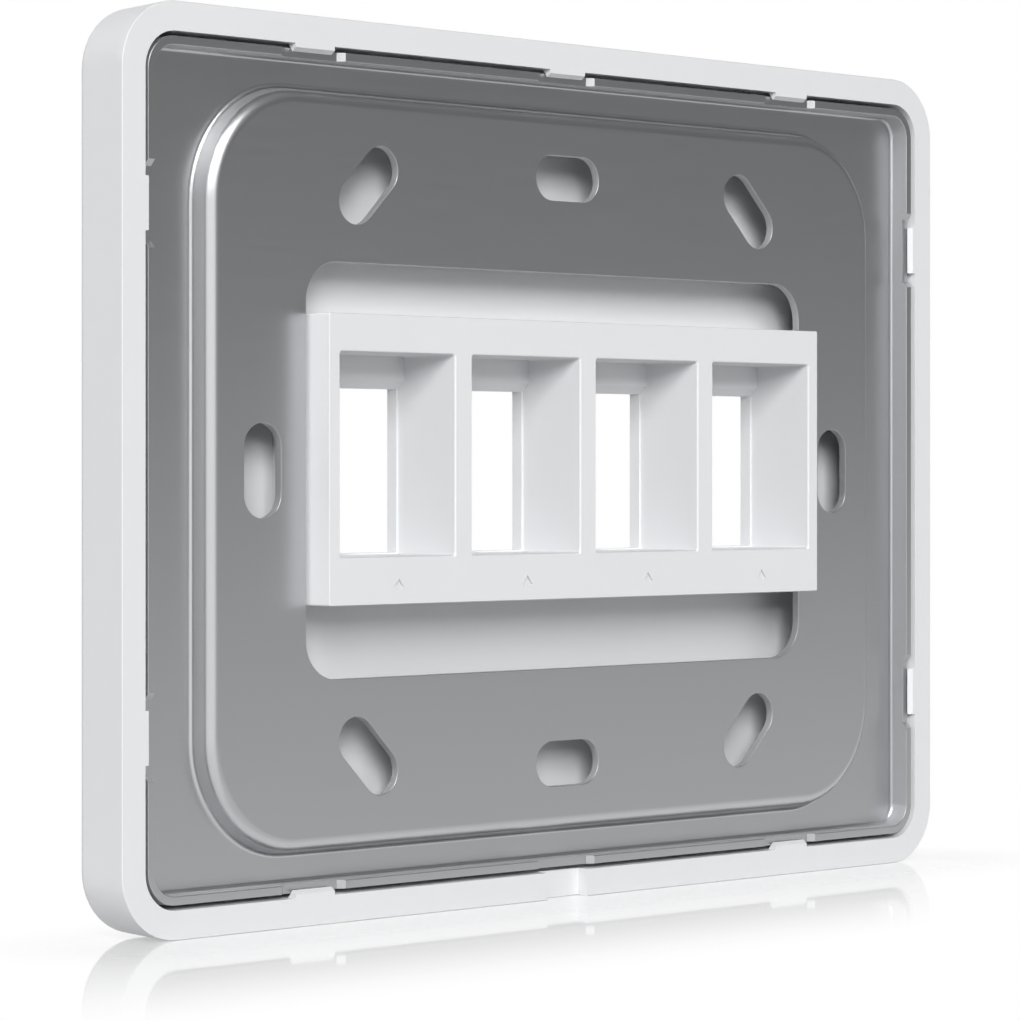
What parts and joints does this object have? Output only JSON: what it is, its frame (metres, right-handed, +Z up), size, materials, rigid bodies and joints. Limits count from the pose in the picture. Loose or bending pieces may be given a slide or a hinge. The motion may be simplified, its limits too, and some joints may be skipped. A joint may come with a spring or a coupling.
{
  "type": "keystone faceplate",
  "caption": "Wall faceplate for keystone jacks: a moulded cover with a row of ports, snapped onto a pressed steel mounting plate with screw slots.",
  "frame": {"origin": "middle of the plate on the wall plane, where the rear edge of the cover's rim lies", "axes": "+X across the plate, +Y from the front face back into the wall, +Z up"},
  "size_m": [0.118, 0.0099, 0.088],
  "materials": {
    "cover_plastic": "moulded, fine satin",
    "plate_steel": "pressed sheet, satin"
  },
  "bodies": {
    "root": {"front_cover": "cover_plastic", "mounting_plate": "plate_steel"}
  },
  "joints": []
}
